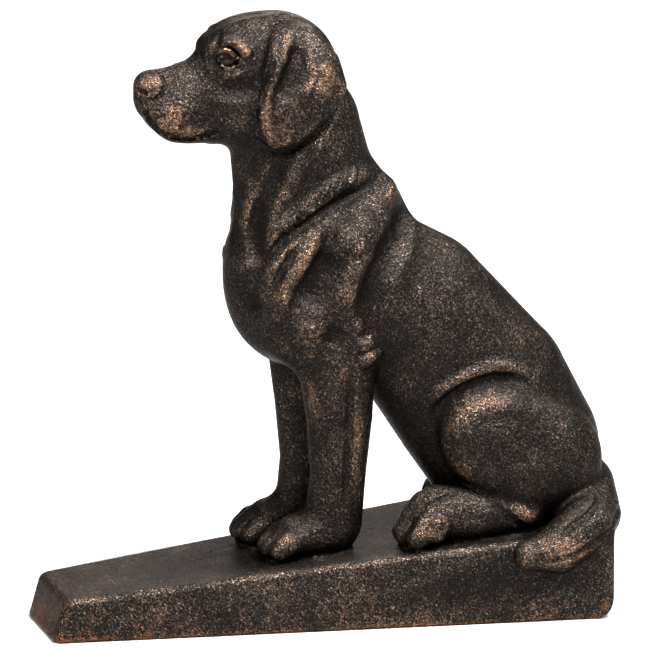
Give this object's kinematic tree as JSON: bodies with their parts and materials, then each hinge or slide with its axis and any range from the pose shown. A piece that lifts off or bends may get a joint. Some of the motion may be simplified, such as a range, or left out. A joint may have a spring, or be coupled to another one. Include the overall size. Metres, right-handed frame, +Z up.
{
  "type": "doorstop",
  "caption": "Cast-iron doorstop: a sitting dog with drop ears on a low tapered wedge, its tail curled over the wedge's side.",
  "frame": {"origin": "middle of the wedge's flat underside, halfway along its length and width", "axes": "+Z up; -X towards the thin end of the wedge and the dog's nose, +X towards its tail; -Y towards the dog's left side, where the tail comes round"},
  "size_m": [0.1679, 0.0702, 0.1761],
  "materials": {
    "cast_iron": "dark brown-black waxed iron with a sand-cast grain and bronze-coloured rub on its raised edges"
  },
  "bodies": {
    "root": {"dog_doorstop": "cast_iron"}
  },
  "joints": []
}
